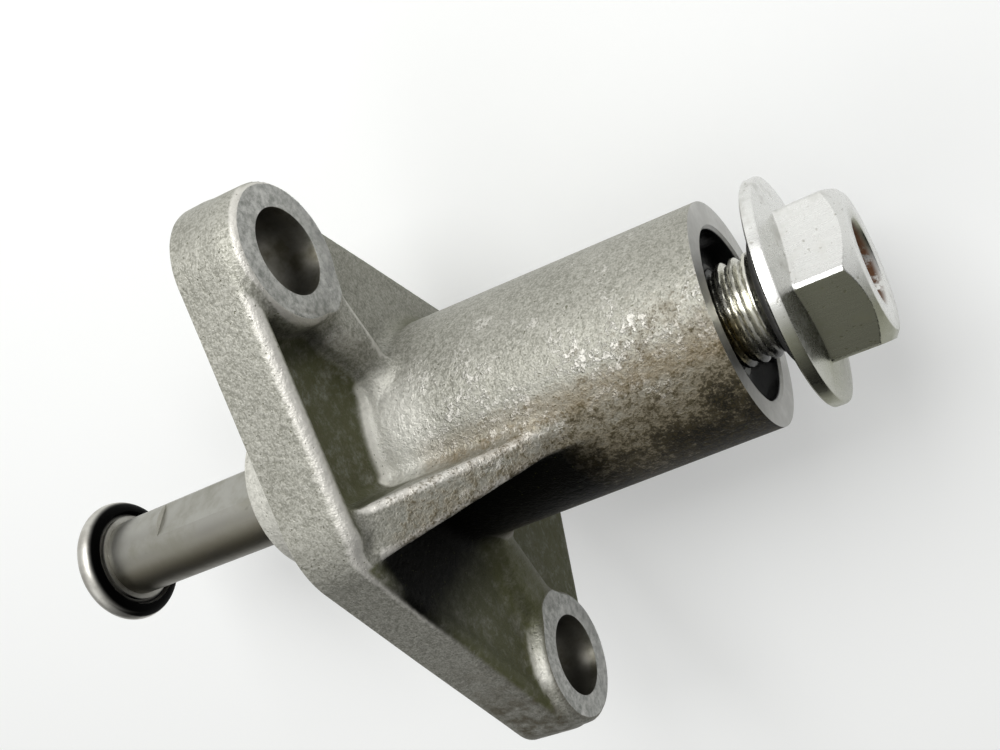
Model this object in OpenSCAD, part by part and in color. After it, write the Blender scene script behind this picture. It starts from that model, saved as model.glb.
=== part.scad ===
// Screw-type timing chain tensioner, lengths in millimetres.
// X runs along the barrel from the mounting face (X = 0) to the sealing bolt.
// Y runs along the line of the two mounting holes, Z toward the gusset corner.

/* [Mounting flange] */
// Distance between the two mounting holes
hole_pitch = 52.2; // [50:0.1:58]
// Diameter of a mounting hole
hole_d = 8.4; // [6.6:0.1:9]
// Height of the hole line above the barrel axis
hole_rise = 7.6; // [6:0.1:9]
// Height of the spot-faced bosses above the mounting face
boss_t = 7.1; // [6.8:0.1:8]
// Radius of a boss at its spot face
boss_r = 7.1; // [6.5:0.1:7.2]
// Thickness of the flange plate on its far side
plate_t = 5.3; // [4.8:0.1:5.6]
// Height of the pocket floors on the gusset side above the mounting face
pocket_t = 3.3; // [2.8:0.1:3.6]
// Height of the rim along the two near edges
rim_t = 6.4; // [6:0.1:6.7]
// Width of the rim
rim_w = 2.2; // [1.8:0.1:2.6]
// Rounding radius of the upper edge of the flange plate
edge_r = 0.8; // [0.4:0.1:1.2]
// Radius of the fillet at the foot of a boss
boss_fillet = 1.2; // [0.6:0.1:1.5]
// Radius of the ears in plan
ear_r = 7.3; // [7.3:0.1:8.5]
// Sideways place of the gusset corner
near_y = 4.1; // [0:0.1:6]
// Height of the gusset corner centre above the barrel axis
near_z = 15.5; // [13:0.1:17]
// Rounding radius of the gusset corner
near_r = 9; // [7:0.1:11]
// Sideways place of the far corner
far_y = -5.5; // [-7:0.1:-4]
// Height of the far corner centre
far_z = -2.5; // [-3.5:0.1:-1.5]
// Rounding radius of the far corner
far_r = 17; // [16:0.1:17.5]

/* [Barrel] */
// Distance from the mounting face to the end of the barrel
barrel_len = 38.15; // [38:0.05:40]
// Radius of the barrel at its end
barrel_end_r = 11; // [10.8:0.1:11.6]
// Radius of the barrel at the flange
barrel_root_r = 11.8; // [11.7:0.1:12.4]
// Radius of the fillet where the barrel meets the flange
root_fillet = 1.4; // [1:0.1:2]
// Chamfer at the barrel end
barrel_chamfer = 0.35; // [0.1:0.05:0.6]
// Radius of the bore
bore_r = 8.4; // [8.2:0.05:8.6]
// Depth of the bore floor behind the mounting face
bore_floor = 2.5; // [2:0.1:3]
// Chamfer at the mouth of the bore
mouth_chamfer = 0.3; // [0.1:0.05:0.5]

/* [Nose] */
// Length of the nose in front of the mounting face
nose_len = 15.1; // [14:0.1:16.5]
// Radius of the nose
nose_r = 8.6; // [8.4:0.1:9]
// Radius of the nose at its tip
nose_tip_r = 7.9; // [7.4:0.1:8.3]
// Length of the tapered tip of the nose
nose_taper = 0.8; // [0.4:0.1:1.5]
// Radius of the hollow inside the nose
nose_bore_r = 5.3; // [5.0:0.1:5.6]
// Length of the close bore in the tip of the nose
tip_guide = 3; // [2:0.1:4]

/* [Ribs] */
// Width of the ribs from the bosses to the barrel
boss_rib_w = 5.2; // [4:0.1:6]
// Height of the boss ribs above the mounting face
boss_rib_t = 6.7; // [6.5:0.1:6.8]
// Height of the boss rib centre line above the barrel axis
boss_rib_z = 5.6; // [5:0.1:6.2]
// Lean of the gusset toward the upper hole in degrees
gusset_lean = 17; // [12:0.5:20]
// Sideways place of the gusset at the height of the barrel axis
gusset_shift = -2.5; // [-3.5:0.1:-1.5]
// Thickness of the gusset where it runs out on the barrel
gusset_tip_w = 2.6; // [2:0.1:4]
// Thickness of the gusset at the corner
gusset_root_w = 5.2; // [4:0.1:7]
// Distance from the mounting face to the run-out of the gusset
gusset_len = 20.2; // [16:0.1:24]
// Distance from the axis to the start of the gusset crest
gusset_start = 23; // [21:0.1:23.4]
// Chamfer at the start of the gusset crest
gusset_edge = 0.6; // [0.2:0.1:1]
// Height of the gusset crest above the barrel end radius at its run-out
gusset_end_h = 0.5; // [0.2:0.1:0.7]

/* [Plunger] */
// Radius of the plunger rod
rod_r = 4.5; // [4.4:0.05:4.7]
// Distance of the two flats from the rod axis
rod_flat = 3.9; // [3.7:0.05:4.1]
// Turn of the flats about the rod axis in degrees
flat_turn = 17.5; // [0:0.5:45]
// Distance from the mounting face to the back of the plunger head
head_back = 40.5; // [38:0.1:42]
// Length of the full round part of the rod behind the head
round_len = 8; // [6:0.1:10]
// Gap between the stop collar and the guide plate with the plunger fully out
stop_gap = 0.15; // [0.1:0.05:0.3]
// Radius of the stop collar on the rod
collar_r = 6; // [5.4:0.1:6]
// Length of the stop collar
collar_len = 2.5; // [2:0.1:2.6]
// Radius of the plunger head
head_r = 7.2; // [6.6:0.1:7.6]
// Thickness of the plunger head at its rim
head_t = 3; // [2.4:0.1:3.4]
// Rise of the domed face of the head
dome_h = 0.8; // [0.4:0.1:1.2]
// Depth of the dish in the back of the head
dish_depth = 0.5; // [0.2:0.05:0.8]
// Width of the sloping edge of the dish for each unit of its depth
dish_slope = 0.4; // [0.2:0.05:0.8]
// Radius of the neck ring between head and rod
neck_r = 5.1; // [4.9:0.1:5.4]
// Length of the stem pressed into the rod
stem_len = 4; // [3:0.1:6]

/* [Screw shaft and spring] */
// Radius of the screw thread
screw_r = 3; // [2.8:0.05:3.05]
// Distance from the mounting face to the front tip of the shaft
screw_tip = 17; // [15:0.1:18]
// Length of the cone at the tip of the shaft
screw_cone = 1; // [0.5:0.1:1.5]
// Thickness of the shaft flange
shaft_flange_t = 1.95; // [1.7:0.05:2]
// Width of the slot in the shaft flange
slot_w = 1.3; // [1:0.1:1.6]
// Length of the slot in the shaft flange
slot_len = 8; // [6:0.1:10]
// Depth of the slot in the shaft flange
slot_depth = 1.2; // [0.8:0.1:1.4]
// Diameter of the spring wire
wire_d = 1.4; // [1.3:0.05:1.45]
// Gap between the spring and the bore
spring_gap = 0.65; // [0.5:0.05:0.7]
// Gap round the end of the spring wire in the guide plate
anchor_gap = 0.05; // [0.03:0.01:0.08]
// Number of coils
coils = 10; // [8:1:11]
// Thickness of the guide plate
guide_t = 2.5; // [2:0.1:2.6]
// Thickness of the thrust washer
washer_t = 0.8; // [0.7:0.05:0.85]
// Gap between the thrust washer and the bore
washer_gap = 0.4; // [0.2:0.05:0.6]
// Gap between the thrust washer and the bolt thread
washer_hole_gap = 0.4; // [0.2:0.05:0.8]

/* [End plug and sealing bolt] */
// Depth of the plug face below the barrel end
plug_recess = 1.85; // [1.7:0.05:2.2]
// Length of the end plug
plug_len = 6.4; // [6.2:0.05:6.6]
// Chamfer at the thread of the end plug
plug_chamfer = 0.6; // [0.3:0.1:0.8]
// Radius of the sealing bolt thread
bolt_r = 5; // [4:0.1:5]
// Gap between the barrel end and the bolt flange as found
bolt_gap = 4.63; // [4.4:0.01:4.8]
// Length of the bolt shank
shank_len = 8.6; // [8.4:0.1:8.7]
// Chamfer at the end of the bolt shank
shank_chamfer = 0.7; // [0.4:0.1:1]
// Radius of the bolt flange
bolt_flange_r = 10.85; // [10:0.05:11]
// Thickness of the bolt flange rim
bolt_rim_t = 1.3; // [1:0.1:1.6]
// Chamfer at the edges of the bolt flange
bolt_edge = 0.3; // [0.1:0.05:0.4]
// Rise of the sloping face of the bolt flange
bolt_slope = 0.7; // [0.4:0.1:1]
// Width across the flats of the hexagon
hex_af = 14; // [12:0.1:14.5]
// Distance from the rim of the bolt flange to the end of the hexagon
hex_h = 6.1; // [5:0.1:8]
// Width of the chamfer on the flats of the hexagon
hex_chamfer = 0.3; // [0.1:0.1:0.6]
// Turn of the hexagon about the barrel axis in degrees
hex_turn = 1.5; // [0:0.5:60]
// Radius of the recess in the end of the hexagon
recess_r = 4; // [3:0.1:4.6]
// Depth of the recess
recess_depth = 1.6; // [0.8:0.1:2.4]
// Difference of the radii of the recess at its mouth and its floor
recess_taper = 0.9; // [0.4:0.1:1.2]
// Section diameter of the O-ring
oring_d = 1.5; // [1.2:0.1:1.6]

/* [Fits] */
// Radial clearance of sliding and turning parts
run_gap = 0.05; // [0.03:0.01:0.08]
// Small gap between neighbouring parts that turn against each other
face_gap = 0.05; // [0.03:0.01:0.08]

/* [Hidden] */
$fn = 96;
hole_y = hole_pitch / 2;
hole_r = hole_d / 2;
ears = [[hole_y, hole_rise], [-hole_y, hole_rise]];
outline = [
    [hole_y, hole_rise, ear_r],
    [near_y, near_z, near_r],
    [-hole_y, hole_rise, ear_r],
    [far_y, far_z, far_r]
];
plug_back_x = barrel_len - plug_recess;
plug_front_x = plug_back_x - plug_len;
shaft_flange_x = plug_front_x - washer_t - face_gap - shaft_flange_t;
guide_x = bore_floor + guide_t;
rod_end = guide_x + stop_gap + collar_len;
flange_seat_x = barrel_len + bolt_gap;
shank_end_x = flange_seat_x - shank_len;
rim_front_x = flange_seat_x + bolt_rim_t;
hex_end_x = rim_front_x + hex_h;
hex_corner_r = hex_af / 2 / cos(30);
spring_r = bore_r - wire_d / 2 - spring_gap;
coil_touch = 0.02;
coil_pitch = wire_d * (1 - coil_touch);
spring_back_x = shaft_flange_x - face_gap;
screw_bore_r = screw_r + run_gap;
oring_r = bolt_r + run_gap + oring_d / 2;
flat_start = head_back - round_len;
plug_hole_r = bolt_r + run_gap;
far = 60;
bit = 0.02;

// Turns a shape drawn in the plane so that it stands along the barrel axis.
module along_x(x = 0) {
    translate([x, 0, 0]) rotate([90, 0, 90]) children();
}

// Round bar along the barrel axis.
module bar(x, len, r) {
    along_x(x) cylinder(h = len, r = r);
}

// Outward normal angle of the tangent from one outline circle to the next.
function normal_angle(a, b) =
    atan2(b[1] - a[1], b[0] - a[0]) - 90 + asin((a[2] - b[2]) / norm([b[0] - a[0], b[1] - a[1]]));
function tangent_point(c, angle) = [c[0] + c[2] * cos(angle), c[1] + c[2] * sin(angle)];
function shrink(list, by) = [for (c = list) [c[0], c[1], c[2] - by]];
function tangent_points(list) = [
    for (i = [0 : len(list) - 1])
        let (a = list[i], b = list[(i + 1) % len(list)], angle = normal_angle(a, b))
            each [tangent_point(a, angle), tangent_point(b, angle)]
];

// Four circles joined by their outer tangents, which cut a trace into the circles.
module flange_plan(list) {
    polygon(tangent_points(shrink(list, bit / 4)));
    for (c = list) {
        translate([c[0], c[1]]) circle(r = c[2]);
    }
}

// Round bar between two points of the plan, at a height above the mounting face.
module plan_bar(a, b, height, r) {
    translate([a[0], a[1], height]) rotate([0, 90, atan2(b[1] - a[1], b[0] - a[0])])
        cylinder(h = norm(b - a), r = r);
}

// Plate with a rounded upper edge.
module soft_plate(list, height, r) {
    inner = shrink(list, r);
    line = tangent_points(inner);
    linear_extrude(height - r) flange_plan(list);
    linear_extrude(height) flange_plan(inner);
    for (c = inner) {
        translate([c[0], c[1], height - r]) rotate_extrude() translate([c[2], 0]) circle(r = r - 2 * bit);
    }
    for (i = [0 : len(list) - 1]) {
        plan_bar(line[2 * i], line[2 * i + 1], height - r, r - bit);
    }
}

// Half-round bead along the two near edges, from ear to ear.
module flange_rim() {
    r = rim_w / 2;
    height = rim_t - r;
    line = tangent_points(shrink(outline, r));
    from = normal_angle(outline[0], outline[1]);
    sweep = (normal_angle(outline[1], outline[2]) - from + 360) % 360;
    linear_extrude(height) intersection() {
        difference() {
            flange_plan(outline);
            flange_plan(shrink(outline, rim_w));
        }
        translate([-far, hole_rise]) square([2 * far, far]);
    }
    plan_bar(line[0], line[1], height, r - bit);
    plan_bar(line[2], line[3], height, r - bit);
    translate([near_y, near_z, height]) rotate(from) rotate_extrude(angle = sweep)
        translate([near_r - r, 0]) circle(r = r - bit);
}

module hole_bosses() {
    foot_r = boss_r + boss_fillet;
    for (e = ears) {
        translate([e[0], e[1], 0]) cylinder(h = boss_t, r1 = ear_r - bit, r2 = boss_r);
        intersection() {
            linear_extrude(far) flange_plan(shrink(outline, edge_r));
            translate([e[0], e[1], 0]) rotate_extrude() difference() {
                square([foot_r, pocket_t + boss_fillet - bit]);
                translate([foot_r, pocket_t + boss_fillet - bit]) circle(r = boss_fillet);
            }
        }
    }
}

module boss_ribs() {
    linear_extrude(boss_rib_t)
        translate([-hole_y, boss_rib_z - boss_rib_w / 2]) square([2 * hole_y, boss_rib_w]);
}

// The flange: a thin floor on the gusset side, a thicker plate beyond the ribs, then what stands on them.
module flange() {
    linear_extrude(pocket_t) flange_plan(outline);
    intersection() {
        soft_plate(outline, plate_t, edge_r);
        translate([-far, boss_rib_z - 2 * far, -far]) cube(2 * far);
    }
    flange_rim();
    hole_bosses();
    boss_ribs();
}

module gusset() {
    crest = barrel_end_r + gusset_end_h;
    root_x = pocket_t - edge_r;
    top = gusset_start + gusset_edge;
    translate([0, gusset_shift, 0]) rotate([-gusset_lean, 0, 0]) intersection() {
        translate([0, far, 0]) rotate([90, 0, 0]) linear_extrude(2 * far) polygon([
            [root_x, 0], [root_x, top], [rim_t - gusset_edge, top],
            [rim_t, gusset_start], [gusset_len, crest], [gusset_len, 0]
        ]);
        along_x(0) linear_extrude(far) polygon([
            [-gusset_tip_w / 2, 0], [gusset_tip_w / 2, 0], [gusset_tip_w / 2, barrel_end_r],
            [gusset_root_w / 2, top], [-gusset_root_w / 2, top], [-gusset_tip_w / 2, barrel_end_r]
        ]);
    }
}

// Drafted barrel with its root fillet on a floor at this height.
module barrel(floor_x) {
    fillet_r = barrel_root_r + root_fillet;
    along_x(0) rotate_extrude() difference() {
        polygon([
            [0, 0], [fillet_r, 0], [fillet_r, floor_x], [barrel_root_r - bit, floor_x + root_fillet],
            [barrel_end_r, barrel_len - barrel_chamfer], [barrel_end_r - barrel_chamfer, barrel_len],
            [0, barrel_len]
        ]);
        translate([fillet_r, floor_x + root_fillet]) circle(r = root_fillet);
    }
}

module nose() {
    along_x(0) rotate_extrude() polygon([
        [0, 1], [nose_r, 1], [nose_r, -nose_len + nose_taper], [nose_tip_r, -nose_len], [0, -nose_len]
    ]);
}

module bore() {
    along_x(0) rotate_extrude() polygon([
        [0, barrel_len + 1], [bore_r + mouth_chamfer, barrel_len + 1],
        [bore_r + mouth_chamfer, barrel_len], [bore_r, barrel_len - mouth_chamfer],
        [bore_r, bore_floor], [nose_bore_r, bore_floor], [nose_bore_r, -nose_len + tip_guide],
        [rod_r + run_gap, -nose_len + tip_guide], [rod_r + run_gap, -nose_len - 1], [0, -nose_len - 1]
    ]);
}

module housing() {
    color("silver") difference() {
        union() {
            along_x(0) flange();
            gusset();
            barrel(pocket_t);
            intersection() {
                barrel(plate_t);
                translate([-far, -far, boss_rib_z - 2 * far]) cube(2 * far);
            }
            nose();
        }
        bore();
        for (e = ears) {
            along_x(-far) translate([e[0], e[1], 0]) cylinder(h = 2 * far, r = hole_r);
        }
    }
}

// Round section with two flats, in the plane.
module double_d(r, flat) {
    rotate(flat_turn) intersection() {
        circle(r = r);
        square([2 * flat, 3 * r], center = true);
    }
}

module guide_plate() {
    color("dimgray") difference() {
        bar(bore_floor, guide_t, bore_r);
        along_x(0) linear_extrude(far) double_d(rod_r + run_gap, rod_flat + run_gap);
        along_x(bore_floor + guide_t / 2) translate([0, -spring_r, 0])
            cylinder(h = far, r = wire_d / 2 + anchor_gap);
    }
}

module thrust_washer() {
    color("dimgray") difference() {
        bar(plug_front_x - washer_t, washer_t, bore_r - washer_gap);
        bar(0, far, bolt_r + washer_hole_gap);
    }
}

module end_plug() {
    color("gainsboro") difference() {
        bar(plug_front_x, plug_back_x - plug_front_x, bore_r);
        bar(0, far, plug_hole_r);
        along_x(plug_back_x - plug_chamfer)
            cylinder(h = plug_chamfer + bit, r1 = plug_hole_r - bit, r2 = plug_hole_r + plug_chamfer);
    }
}

module torsion_spring() {
    front_coil = spring_back_x - wire_d / 2 - (coils - 1) * coil_pitch;
    color("slategray") union() {
        for (i = [0 : coils - 1]) {
            along_x(front_coil + i * coil_pitch) rotate_extrude()
                translate([spring_r, 0]) circle(d = wire_d, $fn = 24);
        }
        along_x(bore_floor + guide_t / 2 + face_gap) translate([0, -spring_r, 0])
            cylinder(h = front_coil - bore_floor - guide_t / 2, r = wire_d / 2 - anchor_gap);
    }
}

module plunger_rod() {
    color("lightsteelblue") difference() {
        union() {
            bar(-head_back, round_len, rod_r);
            along_x(-flat_start - bit) linear_extrude(flat_start + rod_end - collar_len + 2 * bit)
                double_d(rod_r, rod_flat);
            bar(rod_end - collar_len, collar_len, collar_r);
        }
        bar(-far, 2 * far, screw_bore_r);
    }
}

module plunger_head() {
    rim = head_t / 2;
    flat_r = head_r - rim;
    dome_r = (flat_r * flat_r + dome_h * dome_h) / (2 * dome_h);
    color("dimgray") union() {
        along_x(-head_back) rotate_extrude() difference() {
            union() {
                translate([0, -head_t]) square([flat_r, head_t]);
                translate([flat_r, -rim]) circle(r = rim);
                intersection() {
                    translate([0, dome_r - head_t - dome_h]) circle(r = dome_r, $fn = 256);
                    translate([0, -head_t - dome_h]) square([flat_r, dome_h + bit]);
                }
            }
            polygon([
                [neck_r, -dish_depth], [flat_r - dish_slope * dish_depth, -dish_depth],
                [flat_r + dish_slope, 1], [neck_r, 1]
            ]);
            translate([-far, -far]) square([far, 2 * far]);
        }
        bar(-head_back - 1, stem_len + 1, screw_bore_r);
    }
}

module screw_shaft() {
    color("gray") difference() {
        union() {
            bar(-screw_tip + screw_cone, screw_tip - screw_cone + shaft_flange_x + bit, screw_r);
            along_x(-screw_tip) cylinder(h = screw_cone, r1 = screw_r - screw_cone, r2 = screw_r);
            bar(shaft_flange_x, shaft_flange_t, bore_r - run_gap);
        }
        translate([shaft_flange_x + shaft_flange_t - slot_depth, -slot_len / 2, -slot_w / 2])
            cube([far, slot_len, slot_w]);
    }
}

module hexagon() {
    chamfer_h = (hex_corner_r - hex_af / 2 + hex_chamfer) * tan(30);
    intersection() {
        along_x(rim_front_x) rotate(hex_turn) cylinder(h = hex_h, r = hex_corner_r, $fn = 6);
        along_x(0) rotate_extrude() polygon([
            [0, rim_front_x - 1], [hex_corner_r + bit, rim_front_x - 1],
            [hex_corner_r + bit, hex_end_x - chamfer_h], [hex_af / 2 - hex_chamfer, hex_end_x],
            [0, hex_end_x]
        ]);
    }
}

module sealing_bolt() {
    color("whitesmoke") difference() {
        union() {
            along_x(0) rotate_extrude() polygon([
                [0, shank_end_x], [bolt_r - shank_chamfer, shank_end_x],
                [bolt_r, shank_end_x + shank_chamfer], [bolt_r, flange_seat_x],
                [bolt_flange_r - bolt_edge, flange_seat_x], [bolt_flange_r, flange_seat_x + bolt_edge],
                [bolt_flange_r, rim_front_x - bolt_edge], [bolt_flange_r - bolt_edge, rim_front_x],
                [hex_af / 2, rim_front_x + bolt_slope], [0, rim_front_x + bolt_slope]
            ]);
            hexagon();
        }
        along_x(hex_end_x - recess_depth)
            cylinder(h = recess_depth + bit, r1 = recess_r - recess_taper, r2 = recess_r);
    }
}

module bolt_o_ring() {
    color("black") along_x(flange_seat_x - oring_d / 2) rotate_extrude()
        translate([oring_r, 0]) circle(d = oring_d, $fn = 48);
}

housing();
guide_plate();
thrust_washer();
end_plug();
torsion_spring();
plunger_rod();
plunger_head();
screw_shaft();
sealing_bolt();
bolt_o_ring();
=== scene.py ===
"""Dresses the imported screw-type timing chain tensioner and sets it in a plain studio."""

import logging
import math
from dataclasses import dataclass
from enum import Enum
from functools import reduce
from itertools import product

import bmesh
import bpy
import numpy as np
from mathutils import Matrix, Vector


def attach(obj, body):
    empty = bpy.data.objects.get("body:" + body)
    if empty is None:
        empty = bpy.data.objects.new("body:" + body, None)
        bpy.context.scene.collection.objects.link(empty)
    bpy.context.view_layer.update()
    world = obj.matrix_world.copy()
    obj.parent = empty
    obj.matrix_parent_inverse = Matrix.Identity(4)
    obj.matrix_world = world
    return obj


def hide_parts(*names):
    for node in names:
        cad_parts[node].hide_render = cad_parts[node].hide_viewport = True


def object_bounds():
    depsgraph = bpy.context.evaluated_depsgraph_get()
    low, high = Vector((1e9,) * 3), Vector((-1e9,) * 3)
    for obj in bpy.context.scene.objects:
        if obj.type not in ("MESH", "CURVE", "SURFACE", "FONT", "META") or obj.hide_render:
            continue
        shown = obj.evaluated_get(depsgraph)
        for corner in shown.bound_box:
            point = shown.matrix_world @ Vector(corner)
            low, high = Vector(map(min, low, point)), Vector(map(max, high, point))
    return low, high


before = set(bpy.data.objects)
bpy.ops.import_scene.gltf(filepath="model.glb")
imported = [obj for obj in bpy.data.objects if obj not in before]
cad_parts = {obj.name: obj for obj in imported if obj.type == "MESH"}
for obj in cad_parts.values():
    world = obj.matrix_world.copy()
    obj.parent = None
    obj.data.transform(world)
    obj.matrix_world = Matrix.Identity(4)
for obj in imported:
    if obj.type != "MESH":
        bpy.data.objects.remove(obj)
CAD_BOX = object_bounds()
LOG = logging.getLogger("tensioner")
MM = 0.001
Colour = tuple[float, float, float]
Point = tuple[float, float, float]
Profile = list[tuple[float, float]]
Array = np.ndarray
Grid = list[Array]
Skin = tuple[Array, list]
Piece = bpy.types.Object
Material = bpy.types.Material


class Body(Enum):
    """The bodies that the new pieces ride on."""

    HOUSING = "housing"
    BOLT = "bolt"


class Axis(Enum):
    """The part's axes, as outputs of a Separate XYZ node."""

    X = 0
    Y = 1
    Z = 2


class Wire:
    """An output socket whose arithmetic adds Math nodes to its tree."""

    def __init__(self, graph: "Graph", socket: bpy.types.NodeSocket) -> None:
        """Keeps the socket with the graph that it belongs to."""
        self.graph = graph
        self.socket = socket

    def _math(self, operation: str, *values: "Wire | float") -> "Wire":
        """Adds one Math node on these values."""
        return self.graph.node("ShaderNodeMath", {"operation": operation}, dict(enumerate(values)))

    def __add__(self, other: "Wire | float") -> "Wire":
        """Sum."""
        return self._math("ADD", self, other)

    __radd__ = __add__

    def __sub__(self, other: "Wire | float") -> "Wire":
        """Difference."""
        return self._math("SUBTRACT", self, other)

    def __rsub__(self, other: float) -> "Wire":
        """Difference from a number."""
        return self._math("SUBTRACT", other, self)

    def __mul__(self, other: "Wire | float") -> "Wire":
        """Product."""
        return self._math("MULTIPLY", self, other)

    __rmul__ = __mul__

    def __truediv__(self, other: "Wire | float") -> "Wire":
        """Quotient."""
        return self._math("DIVIDE", self, other)

    def __pow__(self, other: float) -> "Wire":
        """Power."""
        return self._math("POWER", self, other)

    def __abs__(self) -> "Wire":
        """Size without sign."""
        return self._math("ABSOLUTE", self)

    def wave(self) -> "Wire":
        """The sine, moved to run from 0 to 1."""
        return self._math("SINE", self) * 0.5 + 0.5

    def most(self, other: "Wire | float") -> "Wire":
        """The larger of two values."""
        return self._math("MAXIMUM", self, other)

    def least(self, other: "Wire | float") -> "Wire":
        """The smaller of two values."""
        return self._math("MINIMUM", self, other)

    def rise(self, low: float, high: float) -> "Wire":
        """A smooth step from 0 at low to 1 at high."""
        inputs = {0: self, 1: low, 2: high, 3: 0.0, 4: 1.0}
        return self.graph.node("ShaderNodeMapRange", {"interpolation_type": "SMOOTHSTEP"}, inputs)

    def fall(self, low: float, high: float) -> "Wire":
        """A smooth step from 1 at low to 0 at high."""
        return 1 - self.rise(low, high)

    def within(self, start: float, full: float, fade: float, end: float) -> "Wire":
        """A smooth window: 0 up to start, 1 from full to fade, 0 from end on."""
        return self.rise(start, full) * self.fall(fade, end)


class Graph:
    """A node tree written as Python expressions."""

    def __init__(self, tree: bpy.types.NodeTree) -> None:
        """Takes over a tree."""
        self.tree = tree

    def node(
        self, kind: str, settings: dict | None = None, sockets: dict | None = None, out: int | str = 0
    ) -> Wire:
        """Adds a node.

        Args:
            kind: The node's type.
            settings: Its own properties, set first.
            sockets: Values or wires for its inputs, by index or name.
            out: Which output to give back, by index or name.

        Returns:
            The chosen output.
        """
        made = self.tree.nodes.new(kind)
        for key, value in (settings or {}).items():
            setattr(made, key, value)
        for key, value in (sockets or {}).items():
            self.feed(made.inputs[key], value)
        return Wire(self, made.outputs[out])

    def feed(self, socket: bpy.types.NodeSocket, value: "Wire | Colour | float") -> None:
        """Gives an input its value.

        Args:
            socket: The input.
            value: A wire to link, or the input's own value.
        """
        if isinstance(value, Wire):
            self.tree.links.new(value.socket, socket)
        elif socket.type == "RGBA":
            socket.default_value = (*value, 1.0)
        else:
            socket.default_value = value

    def place(self) -> Wire:
        """The point on the piece, in metres in its own frame."""
        return self.node("ShaderNodeTexCoord", out="Object")

    def along(self, axis: Axis) -> Wire:
        """One coordinate of the point, in millimetres."""
        return self.node("ShaderNodeSeparateXYZ", sockets={0: self.place()}, out=axis.value) / MM

    def facing(self, axis: Axis) -> Wire:
        """How far the surface faces along an axis, from -1 to 1."""
        normal = self.node("ShaderNodeTexCoord", out="Normal")
        return self.node("ShaderNodeSeparateXYZ", sockets={0: normal}, out=axis.value)

    def radius(self, y: float = 0.0, z: float = 0.0) -> Wire:
        """Distance in millimetres from a line along X through (y, z)."""
        across, up = self.along(Axis.Y) - y, self.along(Axis.Z) - z
        return (across * across + up * up) ** 0.5

    def _stretched(self, grain: float, stretch: Point) -> Wire:
        """The point scaled so that one unit is one grain."""
        scale = tuple(s / (grain * MM) for s in stretch)
        return self.node("ShaderNodeVectorMath", {"operation": "MULTIPLY"}, {0: self.place(), 1: scale})

    def noise(
        self, grain: float, detail: float = 3.0, rough: float = 0.55, stretch: Point = (1, 1, 1)
    ) -> Wire:
        """Smooth noise about 0.5.

        Args:
            grain: Size of a blotch in millimetres.
            detail: Finer layers.
            rough: Weight of the finer layers.
            stretch: Frequency along each axis.

        Returns:
            The noise value.
        """
        inputs = {"Vector": self._stretched(grain, stretch), "Detail": detail, "Roughness": rough}
        return self.node("ShaderNodeTexNoise", None, {"Scale": 1.0, **inputs})

    def cells(self, size: float, feature: str = "F1", warp: float = 0.0) -> tuple[Wire, Wire]:
        """A pattern of cells.

        Args:
            size: Size of a cell in millimetres.
            feature: Which distance is measured.
            warp: How far the cells are pulled out of shape, in cells.

        Returns:
            The distance, and a random value for each cell.
        """
        point = self._stretched(size, (1, 1, 1))
        drift = self.node("ShaderNodeTexNoise", None, {"Vector": point, "Scale": 1.7, "Detail": 2.0}, out=1)
        push = {0: drift, 1: (warp, warp, warp), 2: point}
        point = self.node("ShaderNodeVectorMath", {"operation": "MULTIPLY_ADD"}, push)
        made = self.node("ShaderNodeTexVoronoi", {"feature": feature}, {"Vector": point, "Scale": 1.0})
        return made, Wire(self, made.socket.node.outputs[1])

    def mix(self, mask: Wire | float, first: Wire | Colour, second: Wire | Colour) -> Wire:
        """Blends from the first colour, where the mask is 0, to the second."""
        return self.node("ShaderNodeMix", {"data_type": "RGBA"}, {0: mask, 6: first, 7: second}, out=2)

    def stored(self, name: str) -> Wire:
        """A value kept on the mesh's points."""
        return self.node("ShaderNodeAttribute", {"attribute_name": name}, out=2)

    def seen(self, *rays: str) -> Wire:
        """A mask of these outputs of the Light Path node."""
        return reduce(Wire.most, [self.node("ShaderNodeLightPath", out=name) for name in rays])


class Surface(Graph):
    """A material and its shader."""

    def __init__(self, name: str, base: Colour) -> None:
        """Makes the material.

        Args:
            name: The material's name.
            base: The colour that coats are laid on.
        """
        self.material = bpy.data.materials.new(name)
        self.material.use_nodes = True
        super().__init__(self.material.node_tree)
        self.shader = self.tree.nodes["Principled BSDF"]
        self.colour: Wire | Colour = base

    def coat(self, mask: Wire, colour: Colour) -> None:
        """Lays a colour over what is there, as far as the mask says."""
        self.colour = self.mix(mask, self.colour, colour)

    def paint(self, **sockets: Wire | Colour | float) -> None:
        """Feeds the shader the coats' colour, and other inputs by name."""
        for key, value in {"Base Color": self.colour, **sockets}.items():
            self.feed(self.shader.inputs[key], value)

    def relief(self, height: Wire, depth: float) -> None:
        """Bumps the surface by a height from 0 to 1 over a depth in millimetres."""
        inputs = {"Strength": 1.0, "Distance": depth * MM, "Height": height}
        self.feed(self.shader.inputs["Normal"], self.node("ShaderNodeBump", None, inputs))


@dataclass(frozen=True)
class HousingPlaces:
    """Places that the housing's shape and its finishes share, in millimetres."""

    hole_y: float = 26.1
    hole_z: float = 7.6
    hole_r: float = 4.2
    bore_r: float = 8.4
    boss: float = 7.1
    lean: float = math.radians(17)
    shift: float = -2.5
    foot_up: float = 23.0
    crown_up: float = 11.7
    foot_half: float = 2.55
    crown_half: float = 1.25

    def web(self, y: Array | Wire, z: Array | Wire) -> tuple[Array | Wire, ...]:
        """Finds places on the gusset.

        Args:
            y: Places across the flange.
            z: Places across the flange.

        Returns:
            The distance across the gusset's middle plane, and the height along it.
        """
        c, s = math.cos(self.lean), math.sin(self.lean)
        slid = y - self.shift
        return slid * c - z * s, slid * s + z * c


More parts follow.
